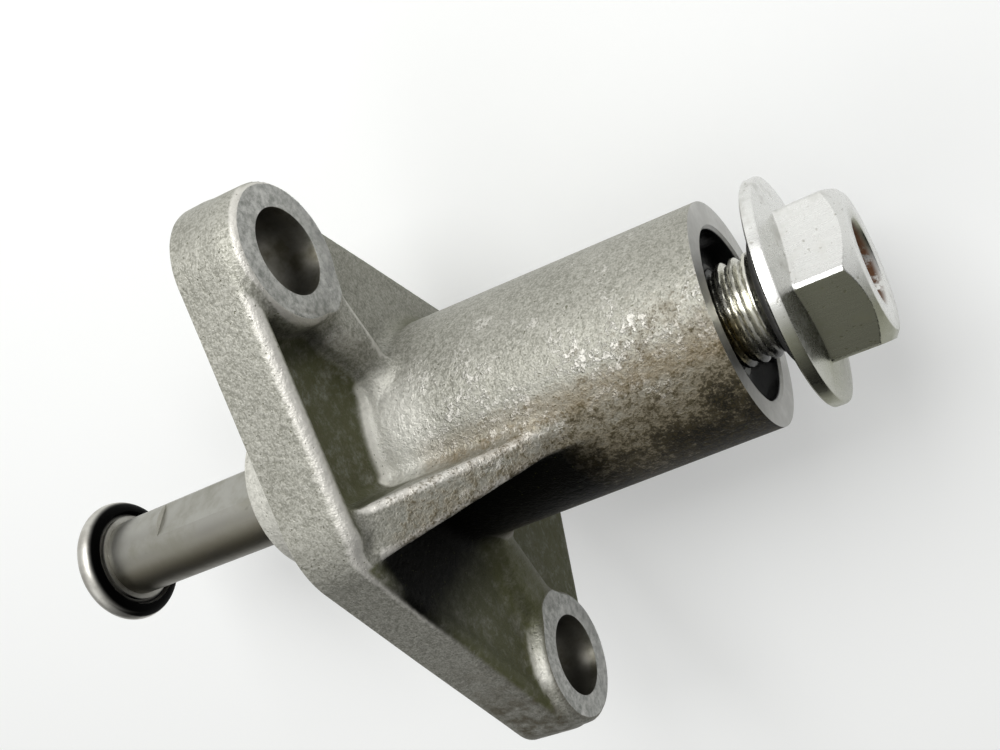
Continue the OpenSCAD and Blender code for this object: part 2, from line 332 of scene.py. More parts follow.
@dataclass(frozen=True)
class CastAluminium(HousingPlaces):
    """Used die-cast aluminium: grey skin, pale bloom, olive and brown staining, black oil in corners,
    painted shade in pockets, corners and on the lower wall, and painted highlights on lit edges, the barrel
    root and the lower boss.
    """

    bloom: Colour = (0.78, 0.77, 0.71)
    pale: Colour = (0.56, 0.545, 0.505)
    skin: Colour = (0.36, 0.355, 0.315)
    shade: Colour = (0.185, 0.183, 0.152)
    olive: Colour = (0.060, 0.063, 0.015)
    umber: Colour = (0.075, 0.06, 0.028)
    brown: Colour = (0.17, 0.12, 0.055)
    soot_and_shade: Colour = (0.005, 0.005, 0.004)

    def make(self) -> Material:
        """Builds the material coat by coat.

        Returns:
            The new material.
        """
        s = CastSkin(self)
        s.paint_wear_highlight_and_shade()
        bloom = s.bloom()
        grime, dark = s.grime()
        pocket = s.stain_and_shade_pockets()
        s.mark_corners()
        oil = s.oil()
        pits = s.noise(0.32, 1.0).rise(0.71, 0.77)
        s.coat(pits * 0.6, self.olive)
        # The pocket and oil masks hold painted shade as well as grime.
        dirt_and_shade = grime.most(pocket * 0.8).most(oil)
        metal = (0.6 - dirt_and_shade * 0.5 + oil * 0.9 + dark * 0.6).least(1.0)
        s.paint(Metallic=metal, Roughness=0.46 + s.grain * 0.16 + dirt_and_shade * 0.12)
        peel, _ = s.cells(0.7, "SMOOTH_F1")
        rough = peel * 0.45 + s.grain * 0.8 + s.fine * 0.4
        s.relief(rough - pits * 0.5 + bloom * 0.4 + s.mottle * grime * 0.6, 0.1)
        return s.material


class CastSkin(Surface):
    """The casting's shader, laid on in coats from bare metal to oil."""

    def __init__(self, tones: CastAluminium) -> None:
        """Sets up what the coats share, and the bare skin.

        Args:
            tones: The colours, and places on the housing.
        """
        super().__init__("cast_aluminium", tones.shade)
        self.tones = tones
        self.x, self.y, self.z = (self.along(a) for a in Axis)
        self.flat = self.facing(Axis.X)
        self.bend = self.stored("bend")
        self.barrel = self.x.rise(6.5, 9.0)
        self.low = (self.z * 0.408 - self.y * 0.913) / 11.4
        across, self.up = tones.web(self.y, self.z)
        growth = (tones.foot_half - tones.crown_half) / (tones.foot_up - tones.crown_up)
        self.past = tones.crown_half + (self.up - tones.crown_up) * growth + across
        self.blotch = self.noise(5.0, 4.0, 0.6)
        self.mottle = self.noise(1.3, 4.0, 0.7)
        self.grain = self.noise(0.5, 3.0, 0.6)
        self.fine = self.noise(0.2, 2.0, 0.5)
        tone = (self.grain * 0.5 + self.fine * 0.65 + self.blotch * 0.2).rise(0.48, 0.86)
        self.coat(tone, tones.skin)

    def paint_wear_highlight_and_shade(self) -> None:
        """Rubs edges and nose pale, with a painted highlight on the lit edges, and paints shade inside the
        rim and on the lower wall.
        """
        t = self.tones
        # Painted shade: olive on the inside of the rim, on the faces turned away from +Z into the pocket.
        inner = self.facing(Axis.Z).fall(-0.5, 0.15) * self.x.within(3.6, 4.6, 6.7, 7.0) * (1 - self.barrel)
        # Pale on the convex edges of the lit +Y side: partly wear, partly a painted highlight.
        worn = (self.bend + (self.grain - 0.5) * 0.8).rise(0.3, 1.0)
        worn = worn * (self.y + self.z * 0.3).rise(-9.0, 6.0) * (1 - inner)
        self.coat(worn * 0.9, t.pale)
        self.coat(inner * (0.5 + self.mottle * 0.5), t.olive)
        nose = self.x.fall(-0.5, 0.1)
        self.coat(nose * (0.18 + self.grain * 0.5), t.bloom)
        # Painted shade: umber in noisy patches on the lower wall, the side turned from the light.
        reach = self.y + self.z * 0.2 + (self.mottle - 0.5) * 14
        wall = reach.fall(-24.0, -8.0) * self.x.within(0.0, 0.6, 5.6, 6.6)
        self.coat(wall * self.noise(1.6, 5.0, 0.75).rise(0.4, 0.62) * 0.8, t.umber)

    def bloom(self) -> Wire:
        """Lays pale rings and flecks of corrosion on the barrel.

        Returns:
            Their mask.
        """
        distance, chance = self.cells(0.85, warp=1.1)
        ring = (abs(distance - 0.3) + (self.grain - 0.5) * 0.6).fall(0.02, 0.16) * chance.rise(0.35, 0.5)
        cluster = (self.noise(4.5, 3.0, 0.6) - abs(self.low + 0.1) * 0.3).rise(0.36, 0.48) * self.barrel
        fleck = self.noise(0.6, 3.0, 0.7).rise(0.52, 0.62)
        mask = (ring.most(fleck) * cluster).least(1.0)
        self.coat(mask * 0.7, self.tones.pale)
        return mask

    def grime(self) -> tuple[Wire, Wire]:
        """Lays tan, brown and black grime on the barrel, thicker toward its underside and its end.

        Returns:
            The masks of all grime and of the black.
        """
        t = self.tones
        depth = self.low + (self.blotch - 0.5) * 1.1 + (self.mottle - 0.5) * 1.2 + (self.x - 24) * 0.022
        speck = self.grain * 0.7 + self.noise(0.9, 4.0, 0.8) * 0.3 + (self.fine - 0.5) * 0.5
        thick = depth + (speck - 0.5) * 1.8
        grime = thick.rise(0.0, 0.85) * self.barrel
        dark = thick.rise(0.4, 1.0) * self.barrel
        freckle = (speck + self.low * 0.05).rise(0.52, 0.64) * self.barrel * depth.rise(-0.7, 0.1)
        self.coat(depth.rise(-0.15, 0.7) * self.barrel * 0.5, t.brown)
        self.coat(grime * 0.9, t.umber)
        self.coat(dark * 0.9, t.soot_and_shade)
        self.coat(freckle * 0.6, t.umber)
        return grime, dark

    def stain_and_shade_pockets(self) -> Wire:
        """Stains the floors of the pockets olive and darkens them as painted shade of the recesses, with a
        few scuffs.

        Returns:
            The mask of both floors.
        """
        upper = self.x.within(3.0, 3.2, 4.2, 5.2) * self.flat.rise(0.2, 0.7) * self.past.rise(3.0, 4.0)
        lower = self.x.within(5.0, 5.2, 5.6, 6.2) * self.flat.rise(0.3, 0.8) * self.past.fall(0.0, 0.5)
        floors = upper.most(lower)
        # Olive stain, deepened as painted shade of the recessed floors.
        self.coat(floors * (self.blotch + self.mottle).rise(0.45, 1.05) * 0.92, self.tones.olive)
        self.coat(floors * self.noise(1.2, 5.0, 0.8).rise(0.5, 0.66) * 0.22, self.tones.skin)
        return floors

    def mark_corners(self) -> None:
        """Marks a painted highlight on the barrel root and the lower boss, olive on the lower rib, and the
        rust above the gusset.
        """
        t = self.tones
        # Painted highlight: pale band on the concave root of the barrel in the upper pocket.
        root = self.radius().fall(12.9, 13.6) * self.x.within(3.3, 3.7, 5.0, 12.0) * self.past.rise(1.6, 4.0)
        root = root * self.z.rise(4.0, 9.0) * self.up.fall(13.5, 15.5)
        self.coat((root * (0.4 + self.grain * 0.9 + self.blotch * 0.4)).least(1.0), t.bloom)
        # Painted highlight: pale strip on the edge of the lower boss.
        boss = self.radius(-t.hole_y, t.hole_z).within(6.5, 6.8, 7.2, 7.6) * self.y.rise(-24.5, -22.5)
        boss = boss * self.x.within(5.3, 5.7, 7.0, 7.2) * self.z.rise(9.0, 11.0)
        self.coat(boss * (0.3 + self.grain * 0.6), t.bloom)
        rib = self.y.within(-23.0, -18.0, -6.0, -3.5) * self.z.rise(3.0, 6.0)
        rib = rib * self.x.within(5.4, 5.9, 7.0, 7.2)
        self.coat(rib * (0.4 + self.mottle * 0.8).least(0.9), t.olive)
        groove = ((self.mottle - 0.5) * 0.8 - self.bend).rise(0.25, 0.9)
        rust = self.past.within(2.2, 3.4, 4.4, 6.2) * self.up.within(9.0, 11.0, 14.5, 17.0) * self.barrel
        self.coat(rust * groove.most(0.4) * 0.7, t.brown)

    def oil(self) -> Wire:
        """Lays black under the gusset, where it is oil together with a painted shadow, and beside the upper
        boss, where it is painted shade.

        Returns:
            Its mask.
        """
        t = self.tones
        # Black under the gusset: oil together with a painted shadow.
        under = self.past.within(-15.0, -4.5, -0.2, 0.3) * self.up.within(2.0, 7.0, 20.0, 24.5)
        under = under * self.x.within(2.0, 4.0, 19.0, 26.0)
        inside = self.x.rise(5.6, 6.6).most(self.flat.rise(0.2, 0.7)).most(self.radius().fall(14.0, 15.5))
        # Painted shade: black in the nook beside the upper boss.
        nook = self.radius(t.hole_y, t.hole_z).fall(8.2, 10.5) * self.z.within(6.0, 8.5, 13.0, 15.0)
        nook = nook * self.x.within(3.0, 3.2, 4.6, 6.2) * self.y.fall(23.0, 25.0)
        mask = (under * inside).most(nook * 0.4)
        self.coat((mask * (0.9 + self.mottle * 0.5)).least(1.0), t.soot_and_shade)
        return mask


@dataclass(frozen=True)
class MachinedAluminium(HousingPlaces):
    """Milled and bored faces of the casting."""

    face: Colour = (0.58, 0.575, 0.555)
    dull: Colour = (0.38, 0.375, 0.355)
    hole_shade: Colour = (0.055, 0.05, 0.034)
    worn: Colour = (0.20, 0.205, 0.19)
    black: Colour = (0.006, 0.006, 0.006)

    def make(self) -> Material:
        """Builds the material.

        Returns:
            The new material.
        """
        s = Surface("machined_aluminium", self.dull)
        x = s.along(Axis.X)
        across = abs(s.along(Axis.Y)) - self.hole_y
        up = s.along(Axis.Z) - self.hole_z
        reach = (across * across + up * up) ** 0.5
        turned = (reach * 9.0 + s.noise(2.0) * 1.5).wave()
        film = s.noise(3.0, 4.0, 0.6).rise(0.3, 0.75)
        fine = s.noise(0.12, 2.0)
        s.coat(film, self.face)
        spot = x.within(self.boss - 1.1, self.boss - 0.5, self.boss + 0.5, self.boss + 0.9)
        s.coat(spot * s.noise(0.9, 4.0, 0.75).rise(0.25, 0.75) * 1.1, self.worn)
        # Painted shade: dark olive down the mounting holes.
        hole = reach.fall(self.hole_r + 0.02, self.hole_r + 0.08)
        s.coat(hole * (0.75 + film * 0.25), self.hole_shade)
        # Painted shade: black deep in the main bore.
        bore = s.radius().fall(self.bore_r + 0.02, self.bore_r + 0.1) * x.rise(2.0, 3.0)
        s.coat(bore, self.black)
        rough = 0.3 + film * 0.12 + fine * 0.1 - bore * 0.3
        s.paint(Metallic=0.9 - bore * 0.9, Roughness=rough)
        s.relief(turned * 0.35 + fine * 0.4, 0.012)
        return s.material


@dataclass(frozen=True)
class GroundSteel:
    """Ground plunger rod with a film of oil and a few scuffs, painted shade on its underside and painted
    light on the faces of its step.
    """

    steel: Colour = (0.36, 0.355, 0.325)
    film: Colour = (0.20, 0.195, 0.15)
    brown: Colour = (0.085, 0.075, 0.048)
    spot: Colour = (0.10, 0.095, 0.085)
    edge: Colour = (0.5, 0.49, 0.44)

    def make(self) -> Material:
        """Builds the material.

        Returns:
            The new material.
        """
        s = Surface("ground_steel", self.steel)
        lines = s.noise(0.16, 3.0, 0.7, (1.0, 0.05, 0.05))
        film = s.noise(4.0, 4.0, 0.6).rise(0.35, 0.72)
        scuffs = s.noise(1.6, 2.0, 0.5, (0.35, 1.0, 1.0)).rise(0.66, 0.72)
        s.coat(film * 0.6, self.film)
        s.coat(scuffs * 0.5, self.spot)
        # Painted shade: brown on the faces turned down and away from the light.
        under = (s.facing(Axis.Y) - s.facing(Axis.Z) * 0.45 + (film - 0.5) * 0.2).fall(-0.6, 0.25)
        s.coat(under * 0.85, self.brown)
        # Painted light: the step's faces, which face along X, made pale.
        step = abs(s.facing(Axis.X)).rise(0.4, 0.8)
        s.coat(step * 0.9, self.edge)
        s.paint(Metallic=1.0 - step * 0.9, Roughness=0.3 + lines * 0.12 + film * 0.08)
        s.relief(lines * 0.5 - scuffs * 0.4, 0.008)
        return s.material


@dataclass(frozen=True)
class PolishedHead:
    """Polished plunger head whose dished back holds black oil, with painted shade under its neck."""

    steel: Colour = (0.54, 0.53, 0.49)
    hazed: Colour = (0.3, 0.28, 0.25)
    oil: Colour = (0.002, 0.002, 0.002)
    back: float = -40.5

    def make(self) -> Material:
        """Builds the material.

        Returns:
            The new material.
        """
        s = Surface("polished_head", self.steel)
        x = s.along(Axis.X)
        haze = s.noise(1.8, 4.0, 0.6)
        dish = s.facing(Axis.X).rise(0.3, 0.8) * s.radius().rise(4.7, 5.5)
        dish = dish * x.rise(self.back - 1.3, self.back - 0.5)
        # Painted shade: black on the underside of the neck; the dish holds oil.
        neck = x.rise(self.back - 1.0, self.back - 0.7) * s.facing(Axis.Y).fall(-0.5, 0.2)
        wet_and_shaded = dish.most(neck)
        s.coat(haze.rise(0.4, 0.7) * 0.5, self.hazed)
        s.coat(wet_and_shaded, self.oil)
        s.paint(Metallic=1.0, Roughness=0.36 + haze * 0.12 + wet_and_shaded * 0.3)
        s.relief(s.noise(0.15, 2.0, 0.5, (1.0, 0.3, 0.3)), 0.004)
        return s.material


@dataclass(frozen=True)
class ZincSteel:
    """Bright plated bolt with brushed hexagon faces, rust in its recess and brassy threads."""

    zinc: Colour = (0.70, 0.70, 0.68)
    smoke: Colour = (0.36, 0.35, 0.31)
    underside_shade: Colour = (0.12, 0.123, 0.04)
    rust: Colour = (0.13, 0.055, 0.022)
    shadow: Colour = (0.012, 0.012, 0.01)
    nickel: Colour = (0.62, 0.61, 0.54)
    brass: Colour = (0.42, 0.33, 0.11)
    seat: float = 42.78
    end: float = 50.18
    recess: float = 4.0

    def make(self) -> Material:
        """Builds the material.

        Returns:
            The new material.
        """
        s = Surface("zinc_steel", self.zinc)
        x = s.along(Axis.X)
        y = s.along(Axis.Y)
        r = s.radius()
        brushed = s.noise(0.5, 3.0, 0.7, (0.12, 1.6, 1.6))
        tarnish = s.noise(2.2, 4.0, 0.65).rise(0.5, 0.72)
        specks = s.noise(0.5, 1.0).rise(0.68, 0.74)
        thread = x.fall(self.seat - 1.2, self.seat - 0.2) * r.fall(5.1, 5.2)
        s.coat(tarnish * 0.35, self.smoke)
        s.coat(specks * 0.6, self.smoke)
        # Painted shade: olive on the faces turned down and away from the light.
        under = (s.facing(Axis.Y) - s.facing(Axis.Z) * 0.45 + (tarnish - 0.5) * 0.15).fall(-0.45, 0.0)
        s.coat(under * 0.74, self.underside_shade)
        s.coat(thread, self.nickel)
        gold = thread * x.fall(38.2, 38.9) * y.fall(1.5, 3.0)
        s.coat(gold * 0.7, self.brass)
        shaded = thread * y.fall(-3.5, -0.5).most(x.fall(37.0, 37.7))
        s.coat(shaded, self.shadow)
        bowl = r.fall(self.recess - 0.35, self.recess + 0.05) * x.rise(self.end - 2.2, self.end - 2.0)
        rusty = bowl * s.noise(0.9, 4.0, 0.7).rise(0.34, 0.52)
        s.coat(rusty, self.rust)
        rough = 0.2 + brushed * 0.14 + tarnish * 0.12 + rusty * 0.5
        s.paint(Metallic=1 - rusty * 0.9, Roughness=rough)
        s.relief((brushed * 0.4 - specks * 0.3) * (1 - thread) + rusty * s.noise(0.25), 0.012)
        return s.material


@dataclass(frozen=True)
class PlainMetal:
    """Hidden steel pieces: one tone with a fine grain and an oil film."""

    name: str
    bright: Colour
    dark: Colour
    rough: float

    def make(self) -> Material:
        """Builds the material.

        Returns:
            The new material.
        """
        s = Surface(self.name, self.bright)
        film = s.noise(2.5, 4.0, 0.6).rise(0.35, 0.7)
        grain = s.noise(0.2, 2.0)
        s.coat(film, self.dark)
        s.paint(Metallic=1.0, Roughness=self.rough + grain * 0.1 + film * 0.06)
        s.relief(grain, 0.006)
        return s.material


@dataclass(frozen=True)
class Nitrile:
    """Black rubber of the O-ring."""

    black: Colour = (0.012, 0.012, 0.012)
    worn: Colour = (0.035, 0.034, 0.032)

    def make(self) -> Material:
        """Builds the material.

        Returns:
            The new material.
        """
        s = Surface("nitrile", self.black)
        grain = s.noise(0.3, 3.0)
        s.coat(grain, self.worn)
        s.paint(Roughness=0.42 + grain * 0.15)
        s.relief(grain, 0.01)
        return s.material


def add_piece(name: str, points: Array, faces: list, materials: list) -> Piece:
    """Makes a mesh object.

    Args:
        name: The piece's name.
        points: Corners in millimetres, one row each.
        faces: Corner numbers of each face.
        materials: Its materials, in slot order.

    Returns:
        The new object, linked into the scene.
    """
    mesh = bpy.data.meshes.new(name)
    mesh.from_pydata((points * MM).tolist(), [], faces)
    for material in materials:
        mesh.materials.append(material)
    mesh.validate()
    piece = bpy.data.objects.new(name, mesh)
    bpy.context.scene.collection.objects.link(piece)
    return piece


def ring_mesh(rings: list[Array]) -> Skin:
    """Joins rings of equal count into a closed skin with capped ends.

    Args:
        rings: Each an array of points, in order along the axis.

    Returns:
        The points and the faces, with the two caps last.
    """
    index = np.arange(len(rings) * len(rings[0])).reshape(len(rings), -1)
    low, high = index[:-1], index[1:]
    quads = np.stack([low, np.roll(low, -1, 1), np.roll(high, -1, 1), high], axis=-1)
    caps = [index[0, ::-1].tolist(), index[-1].tolist()]
    return np.concatenate(rings), quads.reshape(-1, 4).tolist() + caps


def full_turn(steps: int) -> Array:
    """Equal angles round a circle, the first at 0."""
    return np.linspace(0, 2 * np.pi, steps, endpoint=False)


def ring(x: Array | float, radius: Array | float, turn: Array, y: float = 0.0, z: float = 0.0) -> Array:
    """Points round a line along X through (y, z), at angles counted from +Y toward +Z."""
    along = np.broadcast_to(x, turn.shape)
    return np.stack([along, y + radius * np.cos(turn), z + radius * np.sin(turn)], axis=1)


def lathe(profile: Profile, steps: int, y: float = 0.0, z: float = 0.0) -> Skin:
    """Turns a list of (x, radius) about a line along X through (y, z)."""
    return ring_mesh([ring(x, r, full_turn(steps), y, z) for x, r in profile])


def crease(piece: Piece, degrees: float) -> None:
    """Shades a piece smooth, but for its sharp edges.

    Args:
        piece: The piece.
        degrees: The least bend of a sharp edge.
    """
    mesh = bmesh.new()
    mesh.from_mesh(piece.data)
    bmesh.ops.recalc_face_normals(mesh, faces=mesh.faces)
    for face in mesh.faces:
        face.smooth = True
    for edge in mesh.edges:
        edge.smooth = len(edge.link_faces) == 2 and edge.calc_face_angle(0.0) < math.radians(degrees)
    mesh.to_mesh(piece.data)
    mesh.free()


def cut_away(piece: Piece, cutter: Piece) -> None:
    """Takes the cutter out of the piece for good.

    Args:
        piece: The piece to cut.
        cutter: What is cut away. Its finish goes on the cut, and it is removed.
    """
    tool = piece.modifiers.new("cut", "BOOLEAN")
    tool.operation = "DIFFERENCE"
    tool.solver = "EXACT"
    tool.material_mode = "TRANSFER"
    tool.object = cutter
    graph = bpy.context.evaluated_depsgraph_get()
    done = bpy.data.meshes.new_from_object(piece.evaluated_get(graph))
    piece.modifiers.clear()
    piece.data = done
    bpy.data.objects.remove(cutter)


def union_round(a: Array, b: Array, r: Array | float) -> Array:
    """Joins two distance fields with a fillet of radius r."""
    return np.maximum(r, np.minimum(a, b)) - np.hypot(np.maximum(r - a, 0), np.maximum(r - b, 0))


def meet_round(a: Array, b: Array, r: float) -> Array:
    """Intersects two distance fields with an edge rounded to radius r."""
    return np.minimum(-r, np.maximum(a, b)) + np.hypot(np.maximum(r + a, 0), np.maximum(r + b, 0))


def blend_step(value: Array, low: float, high: float) -> Array:
    """A smooth step from 0 at low to 1 at high."""
    t = np.clip((value - low) / (high - low), 0, 1)
    return t * t * (3 - 2 * t)


def skin_of_field(values: Array, origin: Array, pitch: float) -> Skin:
    """Meshes the zero surface of a sampled distance field.

    Args:
        values: The field on a regular grid.
        origin: The grid's first point.
        pitch: The grid's spacing.

    Returns:
        The points, and quads that face outward.
    """
    inside = values < 0
    shape = np.array(values.shape) - 1
    step = np.eye(3, dtype=int)
    corners = list(product((0, 1), repeat=3))
    seen_from = [tuple(slice(i, i + n) for i, n in zip(c, shape)) for c in corners]
    count = sum(inside[part].astype(np.int8) for part in seen_from)
    cell = np.argwhere((count > 0) & (count < len(corners)))
    number = np.full(shape, -1, dtype=np.int64)
    number[tuple(cell.T)] = np.arange(len(cell))
    total = np.zeros((len(cell), 3))
    hits = np.zeros((len(cell), 1))
    for corner, axis in product(corners, (2, 1, 0)):
        if corner[axis]:
            continue
        start = values[tuple((cell + corner).T)]
        end = values[tuple((cell + corner + step[axis]).T)]
        cross = (start < 0) != (end < 0)
        t = start / np.where(cross, start - end, 1.0)
        total += np.where(cross[:, None], corner + t[:, None] * step[axis], 0)
        hits += cross[:, None]
    points = origin + pitch * (cell + total / hits)
    quads = []
    for axis in range(3):
        u, v = step[(axis + 1) % 3], step[(axis + 2) % 3]
        low = np.take(inside, range(shape[axis]), axis=axis)
        high = np.take(inside, range(1, shape[axis] + 1), axis=axis)
        for full, empty, order in ((low, high, 1), (high, low, -1)):
            edge = np.argwhere(full & ~empty)
            loop = [edge - u - v, edge - v, edge, edge - u][::order]
            quads.append(np.stack([number[tuple(p.T)] for p in loop], axis=1))
    return points, np.concatenate(quads).tolist()


@dataclass(frozen=True)
class Casting(HousingPlaces):
    """The die-cast housing: soft cast skin first, then the machined cuts, as it is made."""

    pitch: float = 0.4
    low: Point = (-1.7, -35.0, -21.0)
    high: Point = (40.2, 35.0, 26.5)
    ear_r: float = 7.3
    near: Point = (4.1, 15.5, 9.0)
    far: Point = (-5.5, -2.5, 17.0)
    draft: float = 0.02
    edge_round: float = 1.2
    plate: float = 5.3
    pocket: float = 3.3
    low_pocket: float = 5.3
    floor_fillet: float = 1.2
    rim: float = 6.5
    low_rim: float = 5.45
    rim_width: float = 2.0
    rim_round: float = 1.2
    rib: float = 6.95
    rib_z: float = 4.0
    rib_upper: Point = (6.4, 12.0, 18.0)
    rib_lower: Point = (7.4, 9.0, 16.0)
    rib_flare: float = 2.4
    rib_round: float = 2.4
    rib_fillet: float = 0.8
    boss_draft: float = 0.055
    boss_round: float = 0.8
    boss_fillet: float = 1.1
    spare: float = 0.8
    barrel: float = 38.15
    root_r: float = 11.8
    end_r: float = 11.0
    root_fillet: float = 1.3
    foot_x: float = 6.4
    crown_x: float = 20.6
    web_round: float = 0.6
    web_fillet: float = 0.6
    web_soft_fillet: float = 1.8
    bore_floor: float = 2.5
    mouth_break: float = 0.6
    nose: float = 15.1
    nose_r: float = 8.6
    nose_bore: float = 5.3
    guide_r: float = 4.56
    guide_length: float = 3.0

    def plan(self, at: Grid) -> Array:
        """Wraps the flange's outline round four circles.

        Args:
            at: Where to measure.

        Returns:
            The signed distance from the outline.
        """
        _, y, z = at
        ears = [(side * self.hole_y, self.hole_z, self.ear_r) for side in (1, -1)]
        result = np.full(np.broadcast(y, z).shape, -np.inf)
        for angle in full_turn(720):
            c, s = np.cos(angle), np.sin(angle)
            reach = max(cy * c + cz * s + r for cy, cz, r in (*ears, self.near, self.far))
            result = np.maximum(result, y * c + z * s - reach)
        return result

    def gusset(self, at: Grid) -> Array:
        """Makes the web between the near corner and the barrel.

        Args:
            at: Where to measure.

        Returns:
            The signed distance from the web.
        """
        x, y, z = at
        across, up = self.web(y, z)
        run = self.crown_x - self.foot_x
        drop = self.foot_up - self.crown_up
        share = np.clip((up - self.crown_up) / drop, 0, 1.2)
        half = self.crown_half + (self.foot_half - self.crown_half) * share
        top = ((x - self.foot_x) * drop + (up - self.foot_up) * run) / math.hypot(run, drop)
        web = meet_round(np.abs(across) - half, top, self.web_round)
        return np.maximum(meet_round(web, up - self.foot_up - 0.5, 0.8), -up)

    def ribs(self, at: Grid) -> Array:
        """Makes the ribs from the barrel to the bosses, with a soft near side that flares.

        Args:
            at: Where to measure.

        Returns:
            The signed distance from the ribs.
        """
        x, y, z = at
        upper, lower = (
            start + self.rib_flare * blend_step(side, begin, end)
            for side, (start, begin, end) in ((y, self.rib_upper), (-y, self.rib_lower))
        )
        near = np.where(y > 0, upper, lower)
        rib = meet_round(meet_round(z - near, x - self.rib, self.rib_round), self.rib_z - z, 0.3)
        return np.maximum(rib, np.abs(y) - self.hole_y)

    def flange(self, at: Grid) -> Array:
        """Makes the flange with its pockets, rim, ribs and bosses.

        Args:
            at: Where to measure.

        Returns:
            The signed distance from the flange.
        """
        x, y, z = at
        outline = self.plan(at)
        across, _ = self.web(y, z)
        crest = self.low_rim + (self.rim - self.low_rim) * blend_step(across, -1.6, 0.8)
        band = np.maximum(-(outline + self.rim_width), self.hole_z - z)
        rim = meet_round(x - crest, band, self.rim_round)
        beyond = np.maximum(x - self.plate, z - self.rib_z - 1)
        floor = np.minimum(x - np.where(across > 0, self.pocket, self.low_pocket), beyond)
        raised = union_round(rim, self.ribs(at), self.rib_fillet)
        top = union_round(floor, raised, self.floor_fillet)
        body = meet_round(outline + self.draft * x, top, self.edge_round)
        fillet = self.boss_fillet * blend_step(-outline, 0.3, 2.5)
        for side in (1, -1):
            boss = np.hypot(y - side * self.hole_y, z - self.hole_z) - (self.ear_r - self.boss_draft * x)
            body = union_round(body, meet_round(boss, x - self.boss - 0.12, self.boss_round), fillet)
        return body

    def cast_form(self, at: Grid) -> Array:
        """Joins flange, barrel and gusset, with spare metal for the cuts.

        Args:
            at: Where to measure.

        Returns:
            The signed distance from the skin as cast, in millimetres.
        """
        x, y, z = at
        taper = (self.end_r - self.root_r) / (self.barrel - self.plate)
        barrel = np.hypot(y, z) - self.root_r - taper * (x - self.plate)
        barrel = np.maximum(barrel, x - self.barrel - self.spare)
        body = union_round(self.flange(at), barrel, self.root_fillet)
        web = self.gusset(at)
        tight = union_round(body, web, self.web_fillet)
        soft = union_round(body, web, self.web_soft_fillet)
        upper = blend_step(self.web(y, z)[0], -0.8, 0.8)
        return np.maximum(tight + (soft - tight) * upper, -self.spare - x)

    def skin(self, finishes: list) -> tuple[Piece, Array]:
        """Meshes the cast skin.

        Args:
            finishes: The cast and the machined material.

        Returns:
            The piece, and how much the field bends at each point of the grid.
        """
        spans = [np.arange(a, b, self.pitch) for a, b in zip(self.low, self.high)]
        form = self.cast_form(list(np.meshgrid(*spans, indexing="ij", sparse=True)))
        reach = 2
        around = sum(np.roll(form, step, axis) for axis in range(3) for step in (reach, -reach))
        bend = (around - 6 * form) / (reach * self.pitch) ** 2
        points, faces = skin_of_field(form, np.array(self.low), self.pitch)
        return add_piece("housing_casting", points, faces, finishes), bend

    def keep_bend(self, piece: Piece, bend: Array) -> None:
        """Stores the bend of the cast skin on the piece's points.

        Args:
            piece: The housing.
            bend: The bend at each point of the grid.
        """
        mesh = piece.data
        flat = np.empty(len(mesh.vertices) * 3)
        mesh.vertices.foreach_get("co", flat)
        where = (flat.reshape(-1, 3) / MM - np.array(self.low)) / self.pitch
        cell = np.clip(np.floor(where).astype(int), 2, np.array(bend.shape) - 4)
        part = np.clip(where - cell, 0, 1)
        value = np.zeros(len(cell))
        for c in product((0, 1), repeat=3):
            weight = np.prod(np.where(c, part, 1 - part), axis=1)
            value += weight * bend[tuple((cell + c).T)]
        # The nose lies outside the grid.
        value[where[:, 0] < 2] = 0
        mesh.attributes.new("bend", "FLOAT", "POINT").data.foreach_set("value", value)

    def at_holes(self, profile: Profile) -> list[Skin]:
        """Turns a profile about each mounting hole."""
        return [lathe(profile, 96, side * self.hole_y, self.hole_z) for side in (1, -1)]

    def cuts(self) -> tuple[list[Skin], list[Skin]]:
        """Makes the machined cuts.

        Returns:
            Those for the flat faces, then those for the main bore and the holes.
        """
        wide, deep = 60.0, 6.0
        spot_r = self.ear_r + 1.1
        square = [(-wide, -wide), (wide, -wide), (wide, wide), (-wide, wide)]
        slabs = [(-deep, 0.0), (self.barrel, self.barrel + deep)]
        flats = [ring_mesh([np.insert(square, 0, x, axis=1) for x in slab]) for slab in slabs]
        flats += self.at_holes([(self.boss, spot_r), (self.boss + 5, spot_r)])
        bore = [
            (-1.0, self.nose_bore), (self.bore_floor, self.nose_bore), (self.bore_floor, self.bore_r),
            (self.barrel - 0.3, self.bore_r), (self.barrel + 0.3, self.bore_r + self.mouth_break),
        ]
        hole = [
            (-1.0, self.hole_r + 1.2), (0.2, self.hole_r), (self.boss - 0.1, self.hole_r),
            (self.boss + 0.5, self.hole_r + 0.4),
        ]
        return flats, [lathe(bore, 128), *self.at_holes(hole)]

    def cutter(self, cuts: list[Skin], finish: Material) -> Piece:
        """Joins cuts that don't touch into one cutter.

        Args:
            cuts: The points and faces of each cut.
            finish: The finish that the cutter leaves.

        Returns:
            The cutter.
        """
        faces, base = [], 0
        for points, loops in cuts:
            faces += [tuple(i + base for i in loop) for loop in loops]
            base += len(points)
        tool = add_piece("cutter", np.concatenate([points for points, _ in cuts]), faces, [finish])
        crease(tool, 30)
        return tool

